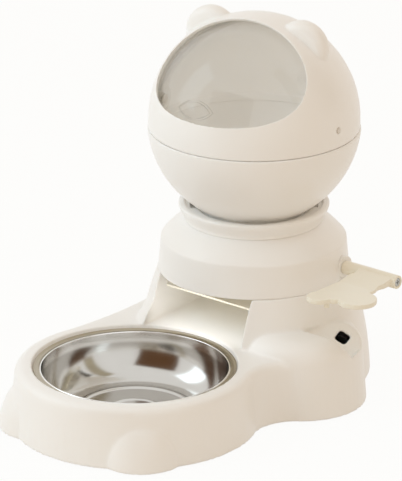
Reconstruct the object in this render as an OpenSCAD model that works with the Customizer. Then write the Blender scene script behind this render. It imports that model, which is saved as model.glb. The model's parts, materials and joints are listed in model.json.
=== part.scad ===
// Gravity pet feeder. A ball-shaped hopper with a swing-up visor locks into a
// collar on the pedestal, a lever works the flap under its outlet, and a steel
// bowl rests in the tub in front. All sizes are millimetres.
// Tub, pedestal and collar share the middle plane; haunch and lever stand on its
// right side, and on its left the tub runs straight into the pedestal.

/* [Base] */
// Distance from the pedestal's axis to the bowl's axis
tub_dist = 158; // [152:1:168]
// Radius of the tub's skirt at the floor
tub_foot_r = 104.4; // [103:0.2:107]
// How far the skirts lean in on their way up to the deck
skirt_lean = 3.4; // [1:0.2:6]
// Height of the deck round the bowl
deck_h = 53.5; // [50:0.5:58]
// Rounding of the deck's outer edge
deck_round = 8; // [4:1:9]
// Wall of the base moulding
wall = 3; // [2.4:0.2:3.6]
// Gap between the floor and the skirt, under which the rubber feet show
floor_gap = 1.2; // [0.6:0.2:1.6]
// Radius of the pedestal at the floor
pedestal_foot_r = 101; // [98:0.5:104]
// Height of the joint between pedestal and cap
pedestal_h = 94.3; // [90:0.5:98]
// How far the pedestal's side bulges past a straight cone
pedestal_bulge = 4; // [1:0.5:6]

/* [Paws and haunches] */
// Radius of the paws at the front of the tub
paw_r = 37.5; // [35:0.5:40]
// Height of the paws
paw_h = 49.5; // [46:0.5:50]
// Distance from the bowl's axis to a paw's centre
paw_dist = 77; // [75:0.5:80]
// Angle between the middle line and a paw
paw_angle = 44; // [41:0.5:46]
// Sideways distance of the haunch's centre from the pedestal's axis
haunch_x = 73.5; // [71:0.5:76]
// Forward distance of the haunch's centre from the pedestal's axis
haunch_y = 27.5; // [24:0.5:31]
// Radius of the haunch at the floor
haunch_r = 56.5; // [54:0.5:58]
// Height of the haunch
haunch_h = 67; // [64:0.5:68]
// Rounding of the haunch's upper edge
haunch_round = 20; // [14:1:22]
// Radius of the hollow curve between tub and haunch
waist_r = 40; // [36:1:46]
// Radius of the hollow curve between haunch and pedestal
rear_waist_r = 12; // [10:1:16]
// Radius of the hollow curve between tub and pedestal on the left
left_waist_r = 400; // [300:20:500]
// Reach of the scoop in the haunch, from its hole to its front tip
scoop_tip = 35; // [30:1:36]
// Reach of the scoop down the haunch's side
scoop_drop = 25; // [20:1:26]
// Side of the square hole in the scoop
socket_w = 10.5; // [8:0.5:11]

/* [Chute] */
// Width of the chute's mouth
chute_w = 100; // [96:1:104]
// Rise of the chute's floor from mouth to back
chute_rise = 6; // [3:0.5:9]
// Distance from the pedestal's axis back to the chute's rear wall
chute_back = 38; // [36:0.5:42]

/* [Steel bowl] */
// Inner radius of the bowl at its brim
bowl_r = 78.7; // [77:0.1:79.2]
// Inner depth of the bowl
bowl_depth = 39; // [36:0.5:39]
// Radius of the bowl's flat bottom
bowl_flat_r = 55; // [52:0.5:60]
// Radius of the ring pressed into the bowl's bottom
bowl_ring_r = 48.5; // [44:0.5:49]
// Thickness of the steel
steel_t = 0.8; // [0.6:0.1:1]
// Radius of the recess that takes the bowl's flange
recess_r = 86.5; // [85.5:0.1:87.5]
// Depth of that recess below the deck
recess_depth = 4; // [3:0.5:5]
// Gap between the flange and the recess
flange_gap = 1; // [0.5:0.1:1.5]

/* [Pedestal cap and collar] */
// Radius of the cap's band at its foot
band_foot_r = 82.1; // [80:0.1:84]
// Radius of the band at its upper edge
band_top_r = 79.4; // [78:0.1:80]
// Height of the band
band_h = 29.4; // [28:0.2:31]
// Height of the shoulder above the band
shoulder_h = 16; // [15:0.5:18]
// Wall of the cap
cap_wall = 2.6; // [2:0.1:3]
// Radius of the collar at its foot
collar_foot_r = 60.1; // [59.5:0.1:61]
// Radius of the collar's lip
collar_lip_r = 64.6; // [63:0.1:66]
// Height of the collar
collar_h = 14.3; // [14:0.1:15]
// Bore of the funnel's outlet
funnel_out_r = 18.5; // [16:0.5:20]

/* [Flap and lever] */
// Height of the flap's shaft above the joint between pedestal and cap
shaft_z = 10.2; // [8.7:0.1:11.7]
// Distance of the shaft behind the pedestal's axis
shaft_y = 25.5; // [25:0.5:27]
// Radius of the flap's shaft
shaft_r = 4; // [3.5:0.1:4.3]
// Radial play of the shaft in its bearings
shaft_play = 0.05; // [0.03:0.01:0.08]
// Angle of the flap below level
flap_tilt = 14.5; // [13:0.5:16]
// Forward reach of the flap from its shaft, along the floor
flap_reach = 85; // [80:1:87]
// Gap between the flap and the chute's walls
flap_gap = 2.5; // [2:0.5:4]
// Thickness of the flap
flap_t = 2; // [1.6:0.1:2.6]
// Radius of the lever's barrel
barrel_r = 5.9; // [5.7:0.1:6.2]
// Sideways distance of the barrel's end from the pedestal's axis
barrel_end = 136; // [134:0.5:140]
// Top of the lever's thumb tab above the shaft's middle
tab_z = 1; // [-0.5:0.5:2.5]
// Thickness of the thumb tab
tab_t = 4; // [3:0.2:5]

/* [Hopper] */
// Height of the ball's centre above the cap
ball_z = 89.6; // [88.8:0.1:90.3]
// Outer radius of the dome
dome_r = 90; // [89:0.2:91]
// Wall of the dome and the hopper bowl
shell_t = 3; // [2.6:0.1:3.2]
// How far the hopper bowl stands out past the dome at the seam
seam_step = 1.3; // [1.1:0.1:2]
// Depth of the seam below the ball's centre
seam_drop = 8.6; // [7:0.2:10]
// Turn of the hopper off its locked stop
hopper_turn = 10; // [2:1:14]
// Outer radius of the hopper's neck
neck_r = 45.3; // [44:0.1:45.6]
// Outer radius of the locking lugs on the neck
lug_r = 54.3; // [53:0.1:54.6]
// Width of a locking lug, as an angle
lug_angle = 20; // [16:1:22]
// Turn from locked to free
lock_turn = 35; // [32:1:40]

/* [Window, visor and ears] */
// Angle of the window's middle above level
window_tilt = 54; // [50:1:58]
// Half width of the oval window
window_a = 68.5; // [64:0.5:70]
// Half height of the oval window
window_b = 52; // [48:0.5:54]
// Shift of the window's middle down its own face
window_drop = 7.9; // [6:0.1:9]
// Gap between visor and dome
visor_gap = 1; // [0.8:0.1:1.2]
// Wall of the visor
visor_t = 2; // [1.6:0.1:2.2]
// Forward distance of the visor's pins from the ball's centre
pin_y = 14; // [12:0.5:15]
// Height of the visor's pins above the ball's centre
pin_z = 7; // [6:0.5:8]
// Radius of the visor's pins
pin_r = 2.4; // [2:0.1:2.8]
// Radius of the ears
ear_r = 24; // [22:0.5:25]
// Thickness of the ears
ear_t = 18; // [17:0.5:19]
// Rounding of the ears' edges
ear_round = 8; // [6:0.2:8]
// Sideways distance of an ear's centre
ear_x = 43.5; // [42:0.5:45]
// Height of an ear's centre above the ball's centre
ear_z = 67; // [65:0.5:69]

/* [Hidden] */
$fn = 96;
cut = 1;
// Longer than the ball is wide, for cuts that pass right through it
far = 2 * dome_r;

well_r = bowl_r + steel_t + 1.5;
well_floor = deck_h - recess_depth - bowl_depth - 2;
flange_z = deck_h - recess_depth;
band_top_z = pedestal_h + band_h;
cap_top_z = band_top_z + shoulder_h;
shaft_level = pedestal_h + shaft_z;
tab_level = shaft_level + tab_z;
ball_level = cap_top_z + ball_z;
neck_play = 1;
cap_bore_r = neck_r + neck_play;
chute_half = chute_w / 2;
waist_bite = 0.6;
rear_lean = 6;
flare_shift = 60;
flare_dir = 236;
flare_in = 51;
flare_fade = 9.2;
flare_z = deck_h - 2;
flare_h = 22;
cover_z = floor_gap + 0.8;
cover_t = 3;
cover_top = cover_z + cover_t;
tab_left = [105.5, -43];
tab_right = [barrel_end - 2.5, -27.5];
tab_left_r = 11;
tab_right_r = 16.5;

// Offset that puts the origin under the middle of the whole feeder
frame_x = (tab_right[0] + tab_right_r - tub_foot_r) / 2;
frame_y = (pedestal_foot_r - tub_dist - tub_foot_r) / 2;

// Points on an arc from angle a to angle b about c
function arc(c, r, a, b, n = 8) = [for (i = [0:n]) c + r * [cos(a + (b - a) * i / n), sin(a + (b - a) * i / n)]];
// Radius of the pedestal's side at height z
function pedestal_r(z) = let (t = z / pedestal_h)
    pedestal_foot_r + (band_foot_r + 0.3 - pedestal_foot_r) * t + 4 * pedestal_bulge * t * (1 - t);

module in_frame() translate([-frame_x, -frame_y, 0]) children();
module both_sides() {
    children();
    mirror([1, 0, 0]) children();
}
module revolve(points) rotate_extrude() polygon(points);

// Upright body of revolution with a leaning side and a rounded upper edge
module skirt_body(foot_r, top_z, rounding, z0)
    revolve(concat([[0, z0], [foot_r, z0]],
                   arc([foot_r - skirt_lean - rounding, top_z - rounding], rounding, 0, 90),
                   [[0, top_z]]));

// Middle of the hollow curve of radius r that meets the circle p, rp and the circle q, rq at a slight angle
function waist_centre(p, rp, q, rq, r) =
    let (d = norm(q - p), ra = rp + r - waist_bite, rb = rq + r - waist_bite,
         a = (ra * ra - rb * rb + d * d) / (2 * d), u = (q - p) / d)
    p + a * u + sqrt(ra * ra - a * a) * [u[1], -u[0]];

// Web between two skirts, hollow on its outer side and rounded like them on top
module waist_body(p, rp, q, rq, anchor, waist, lean, top_z, rounding, inset, z0) {
    c = waist_centre(p, rp, q, rq, waist);
    r = waist + inset;
    top = top_z - inset;
    difference() {
        translate([0, 0, z0]) linear_extrude(top - z0) polygon([p, c, q, anchor]);
        translate([c[0], c[1], 0])
            revolve(concat([[0, z0 - cut], [r, z0 - cut], [r, z0]],
                           [for (i = [0:8]) [r + lean + rounding * (1 - cos(i * 90 / 8)),
                                             top - rounding + rounding * sin(i * 90 / 8)]],
                           [[r + lean + rounding, top + cut], [0, top + cut]]));
    }
}

module paw_body(inset, z0)
    revolve(concat([[0, z0], [paw_r - inset, z0]],
                   [for (a = [8:8.2:90]) [(paw_r - inset) * cos(a), (paw_h - inset) * sin(a)]]));

// Flare at the pedestal's foot on the left, which fades out where the web ends
module foot_flare(inset, z0) translate(flare_shift * [cos(flare_dir), sin(flare_dir), 0])
    revolve(concat([[0, z0]], [for (i = [0:6]) [
        pedestal_r(flare_z + flare_h * i / 6) - inset - flare_in - flare_fade * i / 6,
        flare_z + (flare_h - inset) * i / 6]],
        [[0, flare_z + flare_h - inset]]));

// The base's outer form; with an inset it is the form of the hollow inside
module base_form(inset, z0) {
    tub = [0, -tub_dist];
    haunch = [haunch_x, -haunch_y];
    translate(tub) skirt_body(tub_foot_r - inset, deck_h - inset, deck_round, z0);
    both_sides() translate([paw_dist * sin(paw_angle), -tub_dist - paw_dist * cos(paw_angle), 0])
        paw_body(inset, z0);
    translate(haunch) skirt_body(haunch_r - inset, haunch_h - inset, haunch_round, z0);
    waist_body(tub, tub_foot_r, haunch, haunch_r, [0, -haunch_y],
               waist_r, skirt_lean, deck_h, deck_round, inset, z0);
    waist_body(haunch, haunch_r, [0, 0], pedestal_foot_r, [0, -haunch_y],
               rear_waist_r, rear_lean, haunch_h, haunch_round, inset, z0);
    mirror([1, 0, 0])
        waist_body(tub, tub_foot_r, [0, 0], pedestal_foot_r, [-30, -tub_dist / 2],
                   left_waist_r, skirt_lean, deck_h, deck_round, inset, z0);
    foot_flare(inset, z0);
    revolve(concat([[0, z0], [pedestal_foot_r - inset, z0]],
                   [for (i = [1:8]) [pedestal_r(pedestal_h * i / 8) - inset, (pedestal_h - inset) * i / 8]],
                   [[0, pedestal_h - inset]]));
}

// Side outline of the chute: level with the deck at the mouth, rising to the back
module chute_space(grow) {
    front = tub_dist - recess_r;
    translate([-chute_half - grow, 0, 0]) rotate([90, 0, 90])
        linear_extrude(chute_w + 2 * grow)
            polygon([[-front - 60, deck_h - grow], [-front, deck_h - grow],
                     [chute_back + grow, deck_h + chute_rise - grow],
                     [chute_back + grow, pedestal_h + (grow > 0 ? 0 : cut)],
                     [-front - 60, pedestal_h + (grow > 0 ? 0 : cut)]]);
}

// The tub's three screws keep their distance from the skirt
tub_screw_r = tub_foot_r - 13.4;
tub_screw_side = tub_screw_r / 91 * [78, 47];
cover_screws = [[0, -tub_dist - tub_screw_r],
                [-tub_screw_side[0], -tub_dist + tub_screw_side[1]],
                [tub_screw_side[0], -tub_dist + tub_screw_side[1]],
                [-68, -66], [haunch_x + 20, -haunch_y], [0, 86]];
cover_boss_tops = [deck_h, deck_h, deck_h, deck_h, haunch_h - 4, haunch_h];
cap_screws = [[-71.4, -24.6], [71.4, -24.6], [-32.9, 68], [32.9, 68]];
feet = [[-52, -tub_dist - 54], [52, -tub_dist - 54], [-78, -5], [78, -5], [0, 66]];
screw_r = 1.45;
pilot_r = 1.5;
head_r = 3.4;
head_h = 1.4;
boss_r = 4.5;

// The scoop's floor faces out, up and a little forward; the square hole stands on its corner in it
scoop_at = [105.2, -10.1, 58];
scoop_points = [[-0.2 * scoop_tip, -scoop_tip], [0.55 * scoop_drop, -0.42 * scoop_tip], [scoop_drop, 0.5],
                [12, 14], [-9, 16], [-16, 6], [-15, -8]];
module scoop_space(grow, z0) translate(scoop_at) rotate([0, 0, -35]) rotate([0, 40, 0])
    translate([0, 0, z0]) linear_extrude(40)
        polygon([for (p = scoop_points) p * (1 + 1.3 * grow / norm(p))]);

module base_shell() color("#f7f6f1") in_frame() difference() {
    base_form(0, floor_gap);
    difference() {
        base_form(wall, -cut);
        translate([0, -tub_dist, well_floor - wall]) cylinder(h = deck_h, r = well_r + wall);
        translate([0, -tub_dist, flange_z - wall]) cylinder(h = deck_h, r = recess_r + wall);
        chute_space(wall);
        scoop_space(wall, -wall);
        for (i = [0:5]) translate([cover_screws[i][0], cover_screws[i][1], cover_top])
            cylinder(h = cover_boss_tops[i] - wall / 2 - cover_top, r = boss_r);
    }
    translate([0, -tub_dist, well_floor]) cylinder(h = deck_h, r = well_r);
    translate([0, -tub_dist, flange_z]) cylinder(h = deck_h, r = recess_r);
    chute_space(0);
    scoop_space(0, 0);
    translate(scoop_at) rotate([0, 0, -35]) rotate([0, 40, 0]) rotate([0, 0, 45])
        translate([-socket_w / 2, -socket_w / 2, -wall - 4]) cube([socket_w, socket_w, wall + 5]);
    for (p = cover_screws) translate([p[0], p[1], cover_top - cut]) cylinder(h = 13, r = pilot_r);
    for (p = cap_screws) translate([p[0], p[1], pedestal_h - wall - cut]) cylinder(h = wall + 2 * cut, r = screw_r + 0.3);
}

module bottom_cover() color("#efeee8") in_frame() difference() {
    intersection() {
        base_form(wall + 0.5, cover_z);
        translate([-300, -300, cover_z]) cube([600, 600, cover_t]);
    }
    for (p = cover_screws) translate([p[0], p[1], 0]) {
        cylinder(h = cover_z + head_h + 0.2, r = head_r + 0.3);
        cylinder(h = 20, r = screw_r + 0.3);
    }
    for (p = feet) translate([p[0], p[1], 0]) cylinder(h = cover_z + 1, r = foot_r);
}

// A pad with a chamfered edge, glued in its seat in the cover
foot_r = 8;
module foot(p) color("#8c8c8a") in_frame() translate([p[0], p[1], 0])
    revolve([[0, 0], [foot_r - 0.8, 0], [foot_r, 0.8], [foot_r, cover_z + 1], [0, cover_z + 1]]);
module foot_front_left() foot(feet[0]);
module foot_front_right() foot(feet[1]);
module foot_side_left() foot(feet[2]);
module foot_side_right() foot(feet[3]);
module foot_rear() foot(feet[4]);

// Pan-head screw, head down, its thread end up; the cross slot is in the head
module screw(length) color("#b9bbbd") difference() {
    union() {
        cylinder(h = head_h, r = head_r);
        cylinder(h = head_h + length, r = screw_r);
    }
    for (a = [0, 90]) rotate([0, 0, a]) translate([-2, -0.4, -cut]) cube([4, 0.8, cut + 0.7]);
}
module cover_screw(p) in_frame() translate([p[0], p[1], cover_z + 0.2]) screw(12);
module cover_screw_front() cover_screw(cover_screws[0]);
module cover_screw_left() cover_screw(cover_screws[1]);
module cover_screw_right() cover_screw(cover_screws[2]);
module cover_screw_waist() cover_screw(cover_screws[3]);
module cover_screw_haunch() cover_screw(cover_screws[4]);
module cover_screw_rear() cover_screw(cover_screws[5]);

// Bowl pressed from sheet: rolled flange, round wall, flat bottom with a ring
module steel_bowl() color("#b8b6b2") in_frame() translate([0, -tub_dist, flange_z]) {
    flange_r = recess_r - flange_gap;
    lean = bowl_r - bowl_flat_r;
    outer = [for (i = [0:12]) let (a = i * 90 / 12)
        [bowl_flat_r + steel_t + lean * sin(a), -bowl_depth + bowl_depth * (1 - cos(a))]];
    inner = [for (i = [12:-1:0]) let (a = i * 90 / 12)
        [bowl_flat_r + lean * sin(a), steel_t - bowl_depth + bowl_depth * (1 - cos(a))]];
    revolve(concat(
        [[0, -bowl_depth], [bowl_ring_r - 2, -bowl_depth], [bowl_ring_r - 1, -bowl_depth + 1],
         [bowl_ring_r + 1, -bowl_depth + 1], [bowl_ring_r + 2, -bowl_depth]],
        outer,
        [[flange_r - 0.6, 0], [flange_r, 0.6], [flange_r, 1.4], [flange_r - 0.6, 1.8], [flange_r - 1.4, steel_t]],
        inner,
        [[bowl_ring_r + 2, steel_t - bowl_depth], [bowl_ring_r + 1, steel_t - bowl_depth + 1],
         [bowl_ring_r - 1, steel_t - bowl_depth + 1], [bowl_ring_r - 2, steel_t - bowl_depth],
         [0, steel_t - bowl_depth]]));
}

// Outline of the cap: band, then a gently crowned shoulder up to the collar
module cap_form(inset, z0) {
    rise = shoulder_h;
    run = band_top_r - collar_foot_r;
    revolve(concat([[0, z0], [band_foot_r - inset, z0], [band_top_r - inset, band_top_z - 1]],
                   [for (i = [1:8]) let (t = i / 8)
                        [band_top_r - inset - run * t - 1, band_top_z - inset * 0.4 + rise * t + 7 * t * (1 - t) - inset * 0.6 * t]],
                   [[0, cap_top_z - inset]]));
}

funnel_top = band_top_z + 7.3;
funnel_out_z = shaft_level + 7.7;
module pedestal_cap() color("#f7f6f1") in_frame() difference() {
    union() {
        difference() {
            cap_form(0, pedestal_h);
            cap_form(cap_wall, pedestal_h - cut);
        }
        intersection() {
            cap_form(0, pedestal_h);
            union() {
                both_sides() translate([chute_half, -80, pedestal_h]) cube([cap_wall, chute_back + 80 + cap_wall, 60]);
                translate([-chute_half, chute_back, pedestal_h]) cube([chute_w, cap_wall, 60]);
                for (p = cap_screws) translate([p[0], p[1], pedestal_h]) cylinder(h = 16, r = boss_r);
            }
        }
        revolve([[cap_bore_r + 2.4, cap_top_z - 1], [cap_bore_r + 2.4, funnel_top - 1],
                 [funnel_out_r + 2.4, funnel_out_z], [funnel_out_r, funnel_out_z],
                 [cap_bore_r, funnel_top], [cap_bore_r, cap_top_z - 1]]);
    }
    translate([0, 0, funnel_top]) cylinder(h = 30, r = cap_bore_r);
    translate([0, 0, funnel_out_z]) cylinder(h = funnel_top - funnel_out_z, r1 = funnel_out_r, r2 = cap_bore_r);
    translate([0, shaft_y, shaft_level]) rotate([0, 90, 0]) {
        translate([0, 0, -chute_half - cap_wall - cut]) cylinder(h = chute_w + 2 * cap_wall + cut, r = shaft_r + shaft_play);
        translate([0, 0, bush_in]) cylinder(h = 60, r = bush_r + 0.05);
        translate([0, 0, bush_out - bush_flange_t]) cylinder(h = 30, r = bush_flange_r + 0.05);
    }
    for (p = cap_screws) translate([p[0], p[1], pedestal_h - cut]) cylinder(h = 13, r = pilot_r);
    for (a = collar_screw_angles) rotate([0, 0, a]) translate([collar_screw_r, 0, cap_top_z - cap_wall - cut])
        cylinder(h = cap_wall + 2 * cut, r = screw_r + 0.3);
}

module cap_screw(p) in_frame() translate([p[0], p[1], pedestal_h - wall - head_h]) screw(13);
module cap_screw_front_left() cap_screw(cap_screws[0]);
module cap_screw_front_right() cap_screw(cap_screws[1]);
module cap_screw_rear_left() cap_screw(cap_screws[2]);
module cap_screw_rear_right() cap_screw(cap_screws[3]);

// Flanged bush that carries the shaft through the cap's side
bush_r = 7;
bush_in = chute_half + cap_wall / 2;
bush_out = band_top_r - 0.2;
bush_flange_r = 9.5;
bush_flange_t = 4.7;
module shaft_bush() color("#f4f3ee") in_frame() translate([bush_in, shaft_y, shaft_level]) rotate([0, 90, 0]) difference() {
    union() {
        cylinder(h = bush_out - bush_in, r = bush_r);
        translate([0, 0, bush_out - bush_in - bush_flange_t]) cylinder(h = bush_flange_t, r = bush_flange_r);
    }
    translate([0, 0, -cut]) cylinder(h = bush_out, r = shaft_r + shaft_play);
}

// Collar with a flared lip; four lugs of the hopper turn in its groove
groove_z = cap_top_z + 4;
groove_h = 4.2;
seat_z = cap_top_z + 11.3;
seat_r = neck_r + 5;
free_angle = 41;
lock_angle = free_angle - lock_turn;
lug_play = 0.7;
collar_screw_angles = [-90, 30, 150];
collar_screw_r = neck_r + 7.2;
module sector(r0, r1, z0, h, a0, a1) rotate([0, 0, a0]) translate([0, 0, z0])
    rotate_extrude(angle = a1 - a0) translate([r0, 0]) square([r1 - r0, h]);

module collar_ring() color("#f7f6f1") in_frame() difference() {
    revolve(concat([[0, cap_top_z], [collar_foot_r, cap_top_z], [collar_foot_r, cap_top_z + 3],
                    [collar_lip_r - 0.8, cap_top_z + 9.5]],
                   arc([collar_lip_r - 1.8, cap_top_z + collar_h - 1.8], 1.8, 0, 90, 5),
                   [[collar_lip_r - 5.2, cap_top_z + collar_h], [collar_lip_r - 6.4, seat_z], [0, seat_z]]));
    translate([0, 0, cap_top_z - cut]) cylinder(h = collar_h + 2 * cut, r = cap_bore_r);
    translate([0, 0, seat_z - 2.5]) cylinder(h = 2.6, r1 = seat_r - 3.2, r2 = seat_r);
    for (k = [0:3]) {
        sector(cap_bore_r - 2, lug_r + lug_play, groove_z, groove_h,
               90 * k + lock_angle - lug_angle / 2 - lug_play, 90 * k + free_angle + lug_angle / 2 + lug_play);
        sector(cap_bore_r - 3, lug_r + lug_play / 2, groove_z + 1, 12,
               90 * k + free_angle - lug_angle / 2 - lug_play, 90 * k + free_angle + lug_angle / 2 + lug_play / 2);
    }
    for (a = collar_screw_angles) rotate([0, 0, a]) translate([collar_screw_r, 0, cap_top_z - cut])
        cylinder(h = cut + 3, r = pilot_r);
}
module collar_screw(a) in_frame() rotate([0, 0, a])
    translate([collar_screw_r, 0, cap_top_z - cap_wall - head_h]) screw(cap_wall + 2.8);
module collar_screw_front() collar_screw(collar_screw_angles[0]);
module collar_screw_right() collar_screw(collar_screw_angles[1]);
module collar_screw_left() collar_screw(collar_screw_angles[2]);

// Flap and its shaft in one piece; the shaft's end carries the lever
flap_half = chute_half - flap_gap;
shaft_end = barrel_end - 4;
module gate_flap() color("#ece2c6") in_frame() translate([0, shaft_y, shaft_level]) {
    rotate([0, 90, 0]) difference() {
        translate([0, 0, -chute_half - cap_wall - 2]) cylinder(h = shaft_end + chute_half + cap_wall + 2, r = shaft_r);
        translate([0, 0, shaft_end - 9]) cylinder(h = 10, r = pilot_r);
    }
    rotate([flap_tilt, 0, 0]) {
        length = flap_reach / cos(flap_tilt);
        translate([-flap_half, -length, -flap_t / 2]) cube([2 * flap_half, length, flap_t]);
        for (x = [-flap_half, flap_half - 2]) translate([x, -length + 12, -flap_t / 2 - 3]) cube([2, length - 12, 3.5]);
    }
}

// Barrel on the shaft's end, web and two-lobed thumb tab in one piece
lever_in = bush_out + 0.4;
module gate_lever() color("#ece2c6") in_frame() {
    web_left = 96;
    web_right = barrel_end - 3;
    difference() {
        union() {
            translate([lever_in, shaft_y, shaft_level]) rotate([0, 90, 0]) cylinder(h = barrel_end - lever_in, r = barrel_r);
            difference() {
                translate([web_left, 0, 0]) rotate([90, 0, 90]) linear_extrude(web_right - web_left)
                    polygon([[shaft_y + 2, shaft_level + barrel_r - 0.6], [shaft_y, shaft_level - 2],
                             [-36, tab_level - tab_t], [-36, tab_level], [-4, tab_level - 0.6]]);
                translate([web_right + 9, 4, tab_level - 20]) cylinder(h = 40, r = 10.5);
                translate([web_left - 13, 17, tab_level - 20]) cylinder(h = 40, r = 15);
            }
            translate([0, 0, tab_level - tab_t]) {
                translate(tab_left) cylinder(h = tab_t, r = tab_left_r);
                translate(tab_right) cylinder(h = tab_t, r = tab_right_r);
                linear_extrude(tab_t) polygon([tab_left + [-5, 9.8], tab_right + [-9, 13.8], tab_right,
                                               [(tab_left[0] + tab_right[0]) / 2 + 1.5, -42], tab_left + [1, -5]]);
            }
            translate([tab_left[0] + 7, tab_left[1] + 1, tab_level - tab_t - 5]) cylinder(h = 6, r = 2.4);
        }
        translate([lever_in - cut, shaft_y, shaft_level]) rotate([0, 90, 0])
            cylinder(h = shaft_end - lever_in + cut, r = shaft_r + 0.02);
        translate([shaft_end - cut, shaft_y, shaft_level]) rotate([0, 90, 0]) cylinder(h = 2 * cut + 2, r = screw_r + 0.2);
        translate([barrel_end - 2, shaft_y, shaft_level]) rotate([0, 90, 0]) cylinder(h = 3, r = head_r + 0.3);
    }
}
module lever_screw() in_frame() translate([barrel_end - 2 + head_h, shaft_y, shaft_level]) rotate([0, -90, 0])
    screw(9);

// Frame of the hopper: its centre, turned on the collar
module hopper_place() in_frame() translate([0, 0, ball_level]) rotate([0, 0, hopper_turn]) children();

bowl_ball_r = dome_r + seam_step;
spigot_depth = 6.5;
ear_y = 5;
module hopper_bowl() color("#f7f6f1") hopper_place() difference() {
    union() {
        intersection() {
            sphere(bowl_ball_r);
            translate([0, 0, -seam_drop - far]) cylinder(h = far, r = far);
        }
        translate([0, 0, cap_top_z - 8 - ball_level]) cylinder(h = 26, r = neck_r);
        for (k = [0:3]) sector(neck_r - 1, lug_r, groove_z + 0.2 - ball_level, groove_h - 0.8,
                               90 * k + lock_angle - lug_angle / 2, 90 * k + lock_angle + lug_angle / 2);
    }
    sphere(bowl_ball_r - shell_t);
    translate([0, 0, cap_top_z - 20 - ball_level]) cylinder(h = 60, r = neck_r - shell_t);
    translate([0, 0, -seam_drop - spigot_depth - 0.4]) cylinder(h = 20, r = spigot_r + 0.25);
}

// The window is an oval pushed through the dome along its own tilt
module window_turn() rotate([90 - window_tilt, 0, 0]) children();
module window_space(grow, depth) window_turn()
    translate([0, -window_drop, 0]) linear_extrude(depth)
        polygon([for (i = [0:71]) [(window_a + grow) * cos(i * 5), (window_b + grow) * sin(i * 5)]]);

module ear(inset) translate([ear_x, ear_y, ear_z]) rotate([90, 0, 0]) {
    r = ear_r - inset;
    t = ear_t / 2 - inset;
    round = ear_round - inset;
    revolve(concat([[0, -t]], arc([r - round, -t + round], round, -90, 0, 5),
                   arc([r - round, t - round], round, 0, 90, 5), [[0, t]]));
}

dome_in = dome_r - shell_t;
spigot_r = bowl_ball_r - shell_t - 0.9;
visor_r = dome_in - visor_gap;
pin_flat = 82;
module pin_line(side) translate([0, -pin_y, pin_z]) rotate([0, 90 * side, 0]) children();

module dome_shell() color("#f7f6f1") hopper_place() difference() {
    $fn = 56;
    union() {
        difference() {
            union() {
                intersection() {
                    window_turn() sphere(dome_r);
                    translate([0, 0, -seam_drop]) cylinder(h = far, r = far);
                }
                both_sides() ear(0);
            }
            window_turn() sphere(dome_in);
            both_sides() ear(2.4);
            window_space(0, far);
        }
        translate([0, 0, -seam_drop - spigot_depth]) difference() {
            cylinder(h = spigot_depth + 0.5, r = spigot_r);
            translate([0, 0, -cut]) cylinder(h = 20, r = spigot_r - 2);
        }
        for (s = [-1, 1]) intersection() {
            sphere(dome_r - 1);
            pin_line(s) translate([0, 0, pin_flat + 0.9]) cylinder(h = 20, r = 6);
        }
    }
    for (s = [-1, 1]) pin_line(s) translate([0, 0, pin_flat - 10]) cylinder(h = 40, r = pin_r + 0.02);
}

module visor_pin(side) color("#d9d6cf") hopper_place() pin_line(side) {
    translate([0, 0, pin_flat - visor_t - 1.4]) cylinder(h = 1.2, r = 4.2);
    translate([0, 0, pin_flat - visor_t - 1.4]) cylinder(h = 10.2, r = pin_r);
}
module visor_pin_left() visor_pin(-1);
module visor_pin_right() visor_pin(1);
module visor_washer(side) color("#d9d6cf") hopper_place() pin_line(side)
    translate([0, 0, pin_flat + 0.15]) difference() {
        cylinder(h = 0.6, r = 5);
        translate([0, 0, -cut]) cylinder(h = 3, r = pin_r + 0.05);
    }
module visor_washer_left() visor_washer(-1);
module visor_washer_right() visor_washer(1);

// Side outline of the visor: a wedge that opens from the pins, round at the pins
visor_low = 7;
visor_high = 128;
module visor_outline() {
    translate([-pin_y, pin_z]) {
        circle(r = 11);
        polygon(concat([[0, 0]], [for (i = [0:8]) let (a = visor_low + (visor_high - visor_low) * i / 8)
            140 * [-cos(a), sin(a)]]));
    }
}
module visor_ball(r, flat) intersection() {
    sphere(r);
    translate([-flat, -120, -120]) cube([2 * flat, 240, 240]);
}
// Eye-shaped finger dimple, as the space between two leaning discs
module eye(half_w, half_h, depth) {
    r = (half_w * half_w + half_h * half_h) / (2 * half_h);
    rotate([90 - grip_tilt, 0, 0]) translate([grip_x, 0, 60]) intersection() {
        translate([0, r - half_h, 0]) cylinder(h = depth, r = r);
        translate([0, half_h - r, 0]) cylinder(h = depth, r = r);
    }
}
grip_x = -14.5;
grip_tilt = 19;
module visor() color("#c9c2ba99") hopper_place() difference() {
    union() {
        intersection() {
            difference() {
                visor_ball(visor_r, pin_flat);
                visor_ball(visor_r - visor_t, pin_flat - visor_t);
            }
            translate([-100, 0, 0]) rotate([90, 0, 90]) linear_extrude(200) visor_outline();
        }
        intersection() {
            eye(18, 8.5, 60);
            difference() {
                sphere(visor_r - 0.2);
                sphere(visor_r - 5);
            }
        }
    }
    difference() {
        eye(16, 7, 60);
        sphere(visor_r - 3.4);
    }
    for (s = [-1, 1]) pin_line(s) translate([0, 0, 70]) cylinder(h = 20, r = pin_r + 0.05);
}

base_shell();
bottom_cover();
foot_front_left();
foot_front_right();
foot_side_left();
foot_side_right();
foot_rear();
cover_screw_front();
cover_screw_left();
cover_screw_right();
cover_screw_waist();
cover_screw_haunch();
cover_screw_rear();
steel_bowl();
pedestal_cap();
cap_screw_front_left();
cap_screw_front_right();
cap_screw_rear_left();
cap_screw_rear_right();
shaft_bush();
collar_ring();
collar_screw_front();
collar_screw_left();
collar_screw_right();
gate_flap();
gate_lever();
lever_screw();
hopper_bowl();
dome_shell();
visor_pin_left();
visor_pin_right();
visor_washer_left();
visor_washer_right();
visor();
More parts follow.
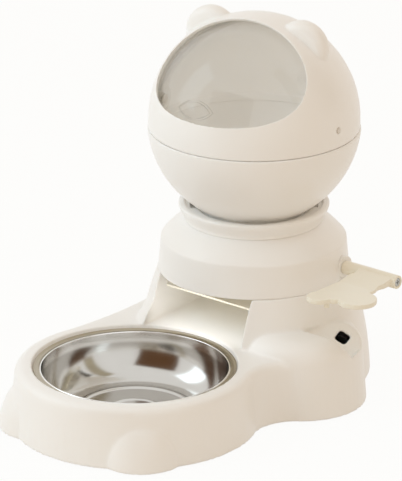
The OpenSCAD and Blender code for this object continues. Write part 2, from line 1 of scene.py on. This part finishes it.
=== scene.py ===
"""Looks of a gravity pet feeder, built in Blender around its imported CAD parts.

The CAD parts stay where the pack has them. The moulded parts that the picture
shows from close by are finer meshes of the same form, and every part gets a
procedural finish.
"""

import json
import logging
import math
from dataclasses import dataclass, field
from enum import Enum
from typing import Any, Optional, Sequence, Union

import bpy
from mathutils import Matrix, Vector

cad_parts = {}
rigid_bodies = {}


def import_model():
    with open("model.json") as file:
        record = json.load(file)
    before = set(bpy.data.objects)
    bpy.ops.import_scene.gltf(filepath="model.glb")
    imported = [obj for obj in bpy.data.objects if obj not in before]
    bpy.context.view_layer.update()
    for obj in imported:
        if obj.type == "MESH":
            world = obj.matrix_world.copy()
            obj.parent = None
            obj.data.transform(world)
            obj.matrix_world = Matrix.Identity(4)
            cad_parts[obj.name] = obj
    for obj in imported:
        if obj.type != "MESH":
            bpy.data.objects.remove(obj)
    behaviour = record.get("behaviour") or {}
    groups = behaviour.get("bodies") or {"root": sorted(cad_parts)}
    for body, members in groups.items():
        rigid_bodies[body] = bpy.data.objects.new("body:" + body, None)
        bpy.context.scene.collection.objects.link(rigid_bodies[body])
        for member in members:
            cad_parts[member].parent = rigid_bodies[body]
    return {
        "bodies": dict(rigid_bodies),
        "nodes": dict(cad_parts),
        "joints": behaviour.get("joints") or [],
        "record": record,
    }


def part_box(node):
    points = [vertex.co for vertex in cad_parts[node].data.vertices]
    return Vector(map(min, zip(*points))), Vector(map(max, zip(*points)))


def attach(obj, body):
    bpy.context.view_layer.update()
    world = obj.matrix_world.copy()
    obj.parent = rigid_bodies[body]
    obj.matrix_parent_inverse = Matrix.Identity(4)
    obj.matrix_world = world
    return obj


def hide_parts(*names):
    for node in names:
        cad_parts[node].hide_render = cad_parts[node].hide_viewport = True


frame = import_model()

LOG = logging.getLogger("feeder")

Rgb = tuple[float, float, float]
Point = tuple[float, float, float]
Number = Union[float, "Value"]
Color = Union[Rgb, "Value"]

PLAIN_WHITE: Rgb = (1.0, 1.0, 0.99)
SOFT_LIGHT: Rgb = (1.0, 0.85, 0.69)
SOFT_STRENGTH = 0.745
FLOOR_COLORS: tuple[Rgb, Rgb] = ((0.90, 0.88, 0.85), (0.88, 0.86, 0.83))
FLOOR_GLOW = 0.94
FLOOR_SIZE = 8.0
MERGE_CAD = 1e-6
MERGE_TURN = 2e-6


class Slot(Enum):
    """Material slots of the record."""

    WHITE = "white_plastic"
    CREAM = "cream_plastic"
    PIN = "pin_plastic"
    SMOKE = "smoke_clear"
    BOWL = "bowl_steel"
    SCREW = "screw_steel"
    FOOT = "foot_rubber"


class Body(Enum):
    """CAD bodies that the pieces ride on."""

    BASE = "base"
    GATE = "gate"
    HOPPER = "hopper"
    VISOR = "visor"


def middle_of(node: str) -> Vector:
    """Middle of a CAD part's box.

    Args:
        node: The part.

    Returns:
        Its middle, in metres.
    """
    low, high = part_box(node)
    return (low + high) / 2


BOWL_AXIS = middle_of("steel_bowl")
STAND_AXIS = middle_of("collar_ring")


class Value:
    """A number inside a shader graph; arithmetic on it adds Math nodes."""

    def __init__(self, graph: "Graph", socket: bpy.types.NodeSocket) -> None:
        """Wraps a socket.

        Args:
            graph: The graph that the socket belongs to.
            socket: The output socket that carries the number.
        """
        self.graph = graph
        self.socket = socket

    def _math(self, operation: str, *others: Number, swap: bool = False) -> "Value":
        """Adds a Math node.

        Args:
            operation: Name of the operation in Blender.
            others: The other operands.
            swap: Puts the other operand first.

        Returns:
            The result.
        """
        operands = (others[0], self) if swap else (self, *others)
        return self.graph.node(
            "Math", dict(enumerate(operands)), operation=operation
        )

    def __add__(self, other: Number) -> "Value":
        return self._math("ADD", other)

    __radd__ = __add__

    def __sub__(self, other: Number) -> "Value":
        return self._math("SUBTRACT", other)

    def __rsub__(self, other: Number) -> "Value":
        return self._math("SUBTRACT", other, swap=True)

    def __mul__(self, other: Number) -> "Value":
        return self._math("MULTIPLY", other)

    __rmul__ = __mul__

    def __pow__(self, other: Number) -> "Value":
        return self._math("POWER", other)

    def largest(self, other: Number) -> "Value":
        """The larger of this and another number."""
        return self._math("MAXIMUM", other)

    def step(self, low: float, high: float) -> "Value":
        """Smooth rise from 0 at low to 1 at high.

        Args:
            low: Where the rise starts.
            high: Where it ends.

        Returns:
            The rise, from 0 to 1.
        """
        return self.graph.node(
            "MapRange",
            {"Value": self, "From Min": low, "From Max": high},
            interpolation_type="SMOOTHSTEP",
        )


class Graph:
    """The node tree of one material, made through a single node method."""

    def __init__(self, tree: bpy.types.NodeTree) -> None:
        """Clears the tree.

        Args:
            tree: The tree to fill.
        """
        self.tree = tree
        tree.nodes.clear()

    def node(
        self,
        kind: str,
        inputs: Optional[dict[Union[str, int], Any]] = None,
        output: Union[str, int] = 0,
        **settings: Any,
    ) -> Value:
        """Adds any node.

        Args:
            kind: The node's type without the leading ShaderNode.
            inputs: Values or results for its inputs, by name or number.
            output: Which of its outputs is returned.
            settings: Its own properties.

        Returns:
            The chosen output, or nothing for the node that ends a tree.
        """
        made = self.tree.nodes.new("ShaderNode" + kind)
        for key, value in settings.items():
            setattr(made, key, value)
        for key, value in (inputs or {}).items():
            if isinstance(value, Value):
                self.tree.links.new(value.socket, made.inputs[key])
            else:
                made.inputs[key].default_value = value
        return Value(self, made.outputs[output]) if made.outputs else None

    def place(self, part: str) -> Value:
        """Object coordinates.

        Args:
            part: "X", "Y", "Z" for one of them, or "" for the vector.

        Returns:
            The coordinate or the vector.
        """
        vector = self.node("TexCoord", output="Object")
        if not part:
            return vector
        return self.node("SeparateXYZ", {0: vector}, output=part)

    def noise(self, scale: float, detail: float = 2.0, **inputs: Any) -> Value:
        """Noise over the object's own coordinates, about 0.5.

        Args:
            scale: Features per metre.
            detail: Number of finer octaves.
            inputs: Other inputs of the noise node.

        Returns:
            The noise value.
        """
        values = {"Vector": self.place(""), "Scale": scale, "Detail": detail}
        return self.node("TexNoise", {**values, **inputs}, output=0)

    def blend(self, share: Number, low: Color, high: Color) -> Value:
        """Colour between two colours.

        Args:
            share: 0 for low, 1 for high.
            low: First colour.
            high: Second colour.

        Returns:
            The colour.
        """
        ends = [end if isinstance(end, Value) else (*end, 1.0) for end in (low, high)]
        return self.node("Mix", {0: share, 6: ends[0], 7: ends[1]}, output=2, data_type="RGBA")

    def bump(self, height: Value, depth: float) -> Value:
        """Bump from a height.

        Args:
            height: The height, about 0 to 1.
            depth: Metres that a height of 1 stands for.

        Returns:
            The normal.
        """
        return self.node("Bump", {"Height": height, "Distance": depth})

    def finish(self, surface: Value) -> None:
        """Ends the graph.

        Args:
            surface: The shader of the surface.
        """
        self.node("OutputMaterial", {"Surface": surface})


@dataclass(frozen=True)
class Finish:
    """Look of one surface.

    Attributes:
        name: Name of the material.
        color: Base colour, linear.
        shade: The colour it drifts to in broad soft patches.
        roughness: Roughness and how far it wanders.
        grain: Fine texture: features per metre and depth in metres.
        fixed: Constant inputs of the surface shader.
        patches: Broad patches of the shade, per metre.
    """

    name: str
    color: Rgb
    shade: Rgb
    roughness: tuple[float, float]
    grain: tuple[float, float]
    fixed: dict[str, Any] = field(default_factory=dict)
    patches: float = 18.0

    def graph(self) -> tuple[bpy.types.Material, Graph]:
        """Makes the empty material.

        Returns:
            The material and its graph.
        """
        material = bpy.data.materials.new(self.name)
        material.use_nodes = True
        return material, Graph(material.node_tree)

    def surface(self, graph: Graph, **inputs: Any) -> Value:
        """Adds the surface shader with this finish's own values.

        Args:
            graph: The graph to add to.
            inputs: Inputs that replace the finish's own, by name.

        Returns:
            The shader.
        """
        broad = graph.noise(self.patches)
        fine = graph.noise(self.grain[0], 3.0)
        values: dict[str, Any] = {
            "Base Color": graph.blend(broad, self.color, self.shade),
            "Roughness": (fine - 0.5) * self.roughness[1] + self.roughness[0],
            "Normal": graph.bump(fine, self.grain[1]),
        }
        values.update(self.fixed)
        values.update({key.replace("_", " "): value for key, value in inputs.items()})
        return graph.node("BsdfPrincipled", values)

    def build(self) -> bpy.types.Material:
        """Makes the material.

        Returns:
            The material.
        """
        material, graph = self.graph()
        graph.finish(self.surface(graph))
        return material


@dataclass(frozen=True)
class SmokeFinish(Finish):
    """Clear plastic with a faint tint that gathers where it is seen edge on.

    Attributes:
        clear: Colour that light keeps on its way through.
        tint: Share of the tint: seen edge on, from the haze, and everywhere.
        tint_power: How closely the tint keeps to the edge.
        haze: Patches of haze, per metre.
        mirror: Share of the mirror image: seen edge on, and everywhere.
        mirror_power: How closely the mirror image keeps to the edge.
        gloss: Roughness of the mirror image.
    """

    clear: Rgb = (0.99, 0.986, 0.978)
    tint: tuple[float, float, float] = (0.6, 0.012, 0.006)
    tint_power: float = 4.0
    haze: float = 45.0
    mirror: tuple[float, float] = (0.6, 0.03)
    mirror_power: float = 5.0
    gloss: float = 0.03

    def build(self) -> bpy.types.Material:
        """Makes the material.

        Returns:
            The material.
        """
        material, graph = self.graph()
        edge = graph.node("LayerWeight", {"Blend": 0.5}, output="Facing")
        haze = graph.noise(self.haze, 3.0)
        clear = graph.node("BsdfTransparent", {"Color": (*self.clear, 1.0)})
        tinted = self.surface(graph)
        at_edge, in_haze, everywhere = self.tint
        share = edge**self.tint_power * at_edge + haze * in_haze + everywhere
        seen = graph.node("MixShader", {0: share, 1: clear, 2: tinted})
        mirror = edge**self.mirror_power * self.mirror[0] + self.mirror[1]
        gloss = graph.node("BsdfGlossy", {"Roughness": self.gloss})
        graph.finish(graph.node("MixShader", {0: mirror, 1: seen, 2: gloss}))
        return material


@dataclass(frozen=True)
class SteelFinish(Finish):
    """Drawn and polished steel with faint turning lines round the bowl's axis, a painted
    highlight on the bead at the brim and a painted tan reflection of the shaded recess wall on
    the flange.

    Attributes:
        bead: Where the painted highlight on the bead at the brim starts and ends, from the
            axis.
        painted_bead_highlight: Colour of the bead, a near-white painted highlight that stands
            in for the light along its roll.
        fade: Widths of the change to the bead and of half the change beyond it.
        flange: Colour of the brushed flange outside the bead, a painted tan reflection that
            stands in for the shaded recess wall mirrored in the steel.
        lines: Turning lines per metre and their depth in metres.
        smears: Polishing smears, per metre.
        wander: Roughness added by the lines, the smears and the flange.
        calm: Roughness taken off where there is neither line nor smear.
    """

    bead: tuple[float, float] = (0.0780, 0.0801)
    # Painted highlight: near white on the bead at the brim, standing in for the light that it
    # reflects.
    painted_bead_highlight: Rgb = (0.96, 0.95, 0.93)
    fade: tuple[float, float] = (0.0005, 0.0003)
    # Painted reflection: tan on the steel flange, standing in for the shaded recess wall that
    # it mirrors.
    flange: Rgb = (0.43, 0.375, 0.285)
    lines: tuple[float, float] = (2600.0, 0.000012)
    smears: float = 60.0
    wander: tuple[float, float, float] = (0.05, 0.07, 0.16)
    calm: float = 0.06

    def build(self) -> bpy.types.Material:
        """Makes the material.

        Returns:
            The material.
        """
        material, graph = self.graph()
        x = graph.place("X") - BOWL_AXIS.x
        y = graph.place("Y") - BOWL_AXIS.y
        radius = (x * x + y * y) ** 0.5
        lines = graph.node(
            "TexNoise",
            {"W": radius, "Scale": self.lines[0], "Detail": 3.0},
            noise_dimensions="1D",
        )
        smear = graph.noise(self.smears, 4.0)
        normal = graph.bump(lines, self.lines[1])
        start, end = self.bead
        rise, reach = self.fade
        inside = graph.blend(smear, self.color, self.shade)
        # Painted highlight: the bead at the brim turns near white.
        with_bead_highlight = graph.blend(radius.step(start, start + rise), inside, self.painted_bead_highlight)
        # Painted reflection: beyond the bead the flange turns tan, standing in for the shaded
        # recess wall; the same mask also roughens the flange.
        outside = radius.step(end - reach, end + reach)
        color = graph.blend(outside, with_bead_highlight, self.flange)
        by_line, by_smear, by_flange = self.wander
        base = self.roughness[0] - self.calm
        rough = lines * by_line + smear * by_smear + outside * by_flange + base
        graph.finish(self.surface(graph, Base_Color=color, Roughness=rough, Normal=normal))
        return material


FINISHES: dict[Slot, Finish] = {
    Slot.WHITE: Finish(
        "white_abs",
        color=(0.93, 0.922, 0.905),
        shade=(0.915, 0.906, 0.886),
        roughness=(0.36, 0.10),
        grain=(1500.0, 0.00003),
        fixed={"Coat Weight": 0.12, "Coat Roughness": 0.25},
    ),
    Slot.CREAM: Finish(
        "cream_acetal",
        color=(0.90, 0.865, 0.75),
        shade=(0.875, 0.835, 0.715),
        roughness=(0.34, 0.10),
        grain=(1300.0, 0.00003),
        fixed={"Coat Weight": 0.1, "Coat Roughness": 0.2},
    ),
    Slot.PIN: Finish(
        "nylon",
        color=(0.74, 0.70, 0.64),
        shade=(0.70, 0.66, 0.60),
        roughness=(0.32, 0.08),
        grain=(1700.0, 0.00002),
    ),
    Slot.SMOKE: SmokeFinish(
        "smoky_styrene",
        color=(0.42, 0.40, 0.365),
        shade=(0.35, 0.33, 0.30),
        roughness=(0.05, 0.03),
        grain=(60.0, 0.000004),
        fixed={"IOR": 1.58},
    ),
    Slot.BOWL: SteelFinish(
        "drawn_steel",
        color=(0.64, 0.62, 0.59),
        shade=(0.60, 0.58, 0.545),
        roughness=(0.15, 0.05),
        grain=(900.0, 0.00001),
        fixed={"Metallic": 1.0},
    ),
    Slot.SCREW: Finish(
        "zinc_steel",
        color=(0.52, 0.50, 0.46),
        shade=(0.45, 0.43, 0.40),
        roughness=(0.32, 0.15),
        grain=(2500.0, 0.00001),
        fixed={"Metallic": 1.0},
    ),
    Slot.FOOT: Finish(
        "grey_rubber",
        color=(0.25, 0.25, 0.245),
        shade=(0.21, 0.21, 0.205),
        roughness=(0.75, 0.15),
        grain=(2200.0, 0.00005),
    ),
}


class Wardrobe:
    """Makes each finish once and puts it on the CAD parts."""

    def __init__(self) -> None:
        """Builds all finishes."""
        self.materials = {slot: finish.build() for slot, finish in FINISHES.items()}

    def dress(self, piece: bpy.types.Object, slot: Slot) -> None:
        """Gives a piece its finish.

        Args:
            piece: The piece.
            slot: The record's slot.
        """
        piece.data.materials.clear()
        piece.data.materials.append(self.materials[slot])

    def dress_frame(self, loaded: dict[str, Any]) -> None:
        """Gives every CAD part the finish of its slot.
        """
        for row in loaded["record"]["subparts"]:
            node = loaded["nodes"][row["node"]]
            self.dress(node, Slot(row["material_slot"]))
            LOG.info("%s wears %s", row["node"], row["material_slot"])


@dataclass
class SoftCopy:
    """A finer mesh of a moulded CAD part, with its edges and creases softened.

    Attributes:
        node: The CAD part that it stands for.
        body: The body that it rides on.
        slot: The finish that it wears.
        voxel: Size of its cells in metres.
        passes: How often it is smoothed.
        triangles: About how many triangles it may keep.
    """

    node: str
    body: Body
    slot: Slot
    voxel: float
    passes: int
    triangles: int = 180_000

    def build(self, wardrobe: "Wardrobe") -> bpy.types.Object:
        """Makes the piece and hides the CAD part.

        Args:
            wardrobe: Where its finish comes from.

        Returns:
            The piece.
        """
        mesh = frame["nodes"][self.node].data.copy()
        piece = bpy.data.objects.new(f"{self.node}_skin", mesh)
        bpy.context.scene.collection.objects.link(piece)
        select_only(piece)
        bpy.ops.object.mode_set(mode="EDIT")
        bpy.ops.mesh.select_all(action="SELECT")
        bpy.ops.mesh.remove_doubles(threshold=MERGE_CAD)
        bpy.ops.mesh.normals_make_consistent(inside=False)
        bpy.ops.object.mode_set(mode="OBJECT")
        apply_modifier(piece, "REMESH", mode="VOXEL", voxel_size=self.voxel)
        apply_modifier(piece, "SMOOTH", factor=0.5, iterations=self.passes)
        count = sum(len(face.vertices) - 2 for face in piece.data.polygons)
        if count > self.triangles:
            apply_modifier(piece, "DECIMATE", ratio=self.triangles / count)
        bpy.ops.object.shade_smooth()
        wardrobe.dress(piece, self.slot)
        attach(piece, self.body.value)
        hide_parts(self.node)
        LOG.info("%s has %d faces", piece.name, len(piece.data.polygons))
        return piece


def select_only(piece: bpy.types.Object) -> None:
    """Makes a piece the only selected and the active one.

    Args:
        piece: The piece.
    """
    for other in bpy.context.selected_objects:
        other.select_set(False)
    piece.select_set(True)
    bpy.context.view_layer.objects.active = piece


def apply_modifier(piece: bpy.types.Object, kind: str, **settings: Any) -> None:
    """Adds a modifier and applies it.

    Args:
        piece: The piece.
        kind: Blender's name of the modifier type.
        settings: The modifier's properties.
    """
    modifier = piece.modifiers.new(kind.lower(), kind)
    for key, value in settings.items():
        setattr(modifier, key, value)
    select_only(piece)
    bpy.ops.object.modifier_apply(modifier=modifier.name)


@dataclass
class BowlSkin:
    """The pressed steel bowl with a smooth curve and a rolled edge.

    Lengths are metres; radii are from the bowl's axis.

    Attributes:
        steps: Steps of the turn.
        sheet: Thickness of the steel.
        brim: Radius of the inside at the brim.
        flat: Radius where the flat bottom ends.
        ring: Radius of the outer pressed ring.
        rings: Radius of each pressed ring as a share of that, and half its height.
        ring_reach: Half the width of a pressed ring.
        depth: Depth of the outside.
        flange: Radius of the rolled edge of the flange.
        seat: Height that the flange rests at.
        roll: Radius of the rolled edge.
        roll_in: How far in from its radius the roll starts.
        roll_turn: Angles where the roll starts and how far it goes round.
        bead: Half the width of the bead at the brim.
    """

    steps: int = 256
    sheet: float = 0.0008
    brim: float = 0.0787
    flat: float = 0.055
    ring: float = 0.0485
    rings: Sequence[tuple[float, float]] = ((0.48, 0.0003), (1.0, 0.0006))
    ring_reach: float = 0.004
    depth: float = 0.039
    flange: float = 0.0855
    seat: float = 0.0495
    roll: float = 0.0009
    roll_in: float = 0.0022
    roll_turn: tuple[float, float] = (140, 230)
    bead: float = 0.0006

    def pressed_rings(self, bottom: float) -> list[tuple[float, float]]:
        """Section of the rings pressed into the bottom.

        Args:
            bottom: Height of the inside's flat bottom.

        Returns:
            Radius and height of the points, from the middle outwards.
        """
        line = []
        steps = 12
        for share, height in self.rings:
            for i in range(steps + 1):
                swell = height * (1 - math.cos(2 * math.pi * i / steps))
                radius = self.ring * share + self.ring_reach * (2 * i / steps - 1)
                line.append((radius, bottom + swell))
        return line

    def edge(self) -> list[tuple[float, float]]:
        """Section over the bead at the brim, the flange and its rolled edge.

        Returns:
            Radius and height of the points, from the inside outwards.
        """
        line = []
        for i in range(9):
            turn = math.radians(180 * i / 8)
            height = self.sheet * (0.25 + 0.75 * math.sin(turn))
            line.append((self.brim + self.bead * (1 - math.cos(turn)), self.seat + height))
        line.append((self.flange - self.roll_in, self.seat + self.sheet * 0.9))
        start, sweep = self.roll_turn
        for i in range(13):
            turn = math.radians(start - sweep * i / 12)
            radius = self.flange - self.roll + self.roll * math.cos(turn)
            line.append((radius, self.seat + self.roll + self.roll * math.sin(turn)))
        return line

    def profile(self) -> list[tuple[float, float]]:
        """Half section of the bowl.

        Returns:
            Radius and height of its points, from the middle of the inside over
            the edge to the middle of the underside.
        """
        bottom = self.seat + self.sheet - self.depth
        side = self.brim - self.flat
        line = [(0.0, bottom), *self.pressed_rings(bottom)]
        for i in range(33):
            turn = math.radians(90 * i / 32)
            height = (self.depth - self.sheet * 2) * (1 - math.cos(turn))
            line.append((self.flat + side * math.sin(turn), bottom + height))
        line += self.edge()
        line.append((self.flat + self.sheet + side, self.seat))
        for i in range(16, -1, -1):
            turn = math.radians(90 * i / 16)
            height = self.depth * (1 - math.cos(turn))
            radius = self.flat + self.sheet + side * math.sin(turn)
            line.append((radius, self.seat - self.depth + height))
        line.append((0.0, self.seat - self.depth))
        return line

    def build(self, wardrobe: "Wardrobe") -> bpy.types.Object:
        """Makes the piece and hides the CAD part.

        Args:
            wardrobe: Where its finish comes from.

        Returns:
            The piece.
        """
        mesh = bpy.data.meshes.new("steel_bowl_skin")
        points = [(BOWL_AXIS.x + r, BOWL_AXIS.y, z) for r, z in self.profile()]
        mesh.from_pydata(points, [(i, i + 1) for i in range(len(points) - 1)], [])
        piece = bpy.data.objects.new("steel_bowl_skin", mesh)
        bpy.context.scene.collection.objects.link(piece)
        select_only(piece)
        bpy.ops.object.mode_set(mode="EDIT")
        bpy.ops.mesh.select_all(action="SELECT")
        bpy.ops.mesh.spin(
            steps=self.steps,
            angle=2 * math.pi,
            center=(BOWL_AXIS.x, BOWL_AXIS.y, 0),
            axis=(0, 0, 1),
        )
        bpy.ops.mesh.select_all(action="SELECT")
        bpy.ops.mesh.remove_doubles(threshold=MERGE_TURN)
        bpy.ops.mesh.normals_make_consistent(inside=False)
        bpy.ops.object.mode_set(mode="OBJECT")
        bpy.ops.object.shade_smooth()
        wardrobe.dress(piece, Slot.BOWL)
        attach(piece, Body.BASE.value)
        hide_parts("steel_bowl")
        return piece


PIECES = (
    SoftCopy("base_shell", Body.BASE, Slot.WHITE, 0.0013, passes=4),
    SoftCopy("pedestal_cap", Body.BASE, Slot.WHITE, 0.0009, passes=4),
    SoftCopy("collar_ring", Body.BASE, Slot.WHITE, 0.0006, passes=4),
    SoftCopy("gate_lever", Body.GATE, Slot.CREAM, 0.0005, passes=8),
    SoftCopy("dome_shell", Body.HOPPER, Slot.WHITE, 0.0007, passes=12),
    SoftCopy("hopper_bowl", Body.HOPPER, Slot.WHITE, 0.0010, passes=4),
    BowlSkin(),
)


@dataclass(frozen=True)
class Lamp:
    """A soft area light.

    Attributes:
        name: Its name.
        at: Its place in metres.
        size: Its width and height in metres.
        power: Its power in watts.
        color: Its colour.
        mirrored: Whether steel and gloss show it.
        aim: Point that it faces; the middle of the feeder where it is None.
    """

    name: str
    at: Point
    size: tuple[float, float]
    power: float
    color: Rgb = (1.0, 1.0, 1.0)
    mirrored: bool = False
    aim: Optional[Point] = None


@dataclass(frozen=True)
class Card:
    """A coloured card out of view, seen only as a reflection in steel and gloss.

    Attributes:
        name: Its name.
        at: Its place in metres.
        size: Its width and height in metres.
        color: The colour that it shows.
    """

    name: str
    at: Point
    size: tuple[float, float]
    color: Rgb


@dataclass(frozen=True)
class Viewpoint:
    """Where the photo was taken from.

    Attributes:
        offset: Place of the camera, sideways and forward of the stand's axis and
            above the floor, in metres.
        azimuth: Angle round the feeder from straight in front, in degrees.
        elevation: Angle above level, in degrees.
        lens: Focal length in millimetres.
        sensor: Width of the film in millimetres.
        far: Farthest distance that is drawn, in metres.
    """

    offset: Point = (2.2897, -2.8457, 1.5007)
    azimuth: float = 39.53
    elevation: float = 20.75
    lens: float = 341.2
    sensor: float = 36.0
    far: float = 100.0

    def matrix(self) -> Matrix:
        """Place and turn of the camera.

        Returns:
            The matrix; its own -Z looks at the feeder.
        """
        azimuth, elevation = math.radians(self.azimuth), math.radians(self.elevation)
        right = Vector((math.cos(azimuth), math.sin(azimuth), 0.0))
        back = Vector(
            (
                math.sin(azimuth) * math.cos(elevation),
                -math.cos(azimuth) * math.cos(elevation),
                math.sin(elevation),
            )
        )
        turn = Matrix((right, back.cross(right), back)).transposed()
        x, y, z = self.offset
        place = Vector((STAND_AXIS.x + x, STAND_AXIS.y + y, z))
        return Matrix.Translation(place) @ turn.to_4x4()


@dataclass
class Studio:
    """Camera, floor, backdrop and lights of the product shot.

    Attributes:
        aim: Point that the lamps point at.
        viewpoint: Where the camera stands.
        lamps: The lamps.
        cards: The cards that the steel bowl reflects.
        bounces: How often light may bounce at all, off matt faces and through
            clear ones.
    """

    aim: Vector = field(default_factory=lambda: Vector((STAND_AXIS.x, 0.0, 0.13)))
    viewpoint: Viewpoint = Viewpoint()
    lamps: Sequence[Lamp] = (
        Lamp("key", (-1.65, -1.15, 1.3), (1.05, 1.7), 7.3, (0.72, 0.88, 1.0), mirrored=True),
        Lamp("front", (-0.7, -2.2, 0.8), (1.6, 1.2), 4.3, (1.0, 0.94, 0.88)),
        Lamp("top", (0.7, 0.5, 1.9), (0.8, 0.8), 2.2, (0.65, 0.82, 1.0)),
        Lamp("window_fill", (-0.30, -0.55, 0.68), (0.4, 0.4), 1.2, (0.34, 0.70, 1.0)),
        Lamp(
            "chute_fill",
            (-0.0228, -0.004, 0.073),
            (0.08, 0.008),
            0.012,
            aim=(-0.0228, 0.115, 0.072),
        ),
        Lamp(
            "inner_fill",
            (-0.0228, 0.07, 0.275),
            (0.04, 0.04),
            0.016,
            aim=(-0.0228, 0.12, 0.2),
        ),
    )
    cards: Sequence[Card] = (
        Card("brown_card", (0.30, -2.2, 1.1), (2.3, 1.9), (0.17, 0.085, 0.04)),
        Card("tan_card", (1.9, 0.35, 1.4), (0.6, 3.0), (0.56, 0.49, 0.35)),
        Card("dark_card", (1.3, 1.3, 1.1), (1.1, 1.5), (0.10, 0.085, 0.07)),
    )
    bounces: tuple[int, int, int] = (24, 16, 24)

    def camera(self) -> None:
        """Stands the camera where the photo was taken from and sets the view."""
        data = bpy.data.cameras.new("camera")
        data.lens = self.viewpoint.lens
        data.sensor_width = self.viewpoint.sensor
        data.clip_end = self.viewpoint.far
        camera = bpy.data.objects.new("camera", data)
        bpy.context.scene.collection.objects.link(camera)
        camera.matrix_world = self.viewpoint.matrix()
        scene = bpy.context.scene
        scene.camera = camera
        scene.view_settings.view_transform = "Standard"
        scene.cycles.max_bounces = self.bounces[0]
        scene.cycles.diffuse_bounces = self.bounces[1]
        scene.cycles.transparent_max_bounces = self.bounces[2]

    def light(self, lamp: Lamp) -> None:
        """Adds a lamp.

        Args:
            lamp: The lamp.
        """
        data = bpy.data.lights.new(lamp.name, "AREA")
        data.shape = "RECTANGLE"
        data.size, data.size_y = lamp.size
        data.energy = lamp.power
        data.color = lamp.color
        light = bpy.data.objects.new(lamp.name, data)
        light.matrix_world = self.facing(lamp.at, lamp.aim)
        light.visible_glossy = lamp.mirrored
        light.visible_camera = light.visible_transmission = False
        bpy.context.scene.collection.objects.link(light)

    def facing(self, at: Sequence[float], aim: Optional[Sequence[float]] = None) -> Matrix:
        """Place and turn of a lamp or card that faces the feeder.

        Args:
            at: Where it stands.
            aim: Point that it faces; the middle of the feeder where it is None.

        Returns:
            Its matrix; its own -Z points at the aim.
        """
        turn = (Vector(aim or self.aim) - Vector(at)).to_track_quat("-Z", "Y")
        return Matrix.Translation(at) @ turn.to_matrix().to_4x4()

    def card(self, card: Card) -> None:
        """Stands up a card.

        Args:
            card: The card.
        """
        bpy.ops.mesh.primitive_plane_add(size=1.0, location=(0, 0, 0))
        board = bpy.context.object
        board.name = card.name
        board.data.transform(self.facing(card.at) @ Matrix.Diagonal((*card.size, 1.0, 1.0)))
        material = bpy.data.materials.new(card.name)
        material.use_nodes = True
        graph = Graph(material.node_tree)
        fade = graph.noise(1.5)
        dark = tuple(part * 0.7 for part in card.color)
        graph.finish(graph.node("Emission", {"Color": graph.blend(fade, dark, card.color)}))
        board.data.materials.append(material)
        board.visible_camera = board.visible_diffuse = False
        board.visible_shadow = board.visible_transmission = False

    def plainly_seen(self, graph: Graph) -> Value:
        """Tells looks at the backdrop from the light that it gives.

        Args:
            graph: The graph to add to.

        Returns:
            Above 0 for rays from the camera, a mirror or through clear plastic.
        """
        camera = graph.node("LightPath", output="Is Camera Ray")
        mirror = graph.node("LightPath", output="Is Glossy Ray")
        through = graph.node("LightPath", output="Is Transmission Ray")
        return camera.largest(mirror).largest(through)

    def world(self) -> None:
        """Makes the white surround: full white when looked at, softer as light."""
        world = bpy.data.worlds.new("studio")
        bpy.context.scene.world = world
        world.use_nodes = True
        graph = Graph(world.node_tree)
        seen = self.plainly_seen(graph)
        soft = graph.node(
            "Background", {"Color": (*SOFT_LIGHT, 1.0), "Strength": SOFT_STRENGTH}
        )
        plain = graph.node("Background", {"Color": (*PLAIN_WHITE, 1.0), "Strength": 1.0})
        mixed = graph.node("MixShader", {0: seen, 1: soft, 2: plain})
        graph.node("OutputWorld", {"Surface": mixed})

    def floor(self) -> None:
        """Lays the pale floor under the feeder."""
        bpy.ops.mesh.primitive_plane_add(size=FLOOR_SIZE, location=(0, 0, 0))
        floor = bpy.context.object
        floor.name = "floor"
        material = bpy.data.materials.new("floor")
        material.use_nodes = True
        graph = Graph(material.node_tree)
        seen = self.plainly_seen(graph)
        grain = graph.noise(30.0)
        matt = graph.node("BsdfDiffuse", {"Color": graph.blend(grain, *FLOOR_COLORS)})
        glow = graph.node("Emission", {"Color": (*PLAIN_WHITE, 1.0), "Strength": 1.0})
        shown = graph.node("MixShader", {0: FLOOR_GLOW, 1: matt, 2: glow})
        graph.finish(graph.node("MixShader", {0: seen, 1: matt, 2: shown}))
        floor.data.materials.append(material)

    def build(self) -> None:
        """Sets up the whole studio."""
        self.camera()
        self.floor()
        self.world()
        for lamp in self.lamps:
            self.light(lamp)
        for card in self.cards:
            self.card(card)


def main() -> None:
    """Builds the looks and the studio."""
    logging.basicConfig(level=logging.INFO, format="%(name)s: %(message)s")
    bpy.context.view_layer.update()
    wardrobe = Wardrobe()
    wardrobe.dress_frame(frame)
    for piece in PIECES:
        piece.build(wardrobe)
    Studio().build()


if __name__ == "__main__":
    main()
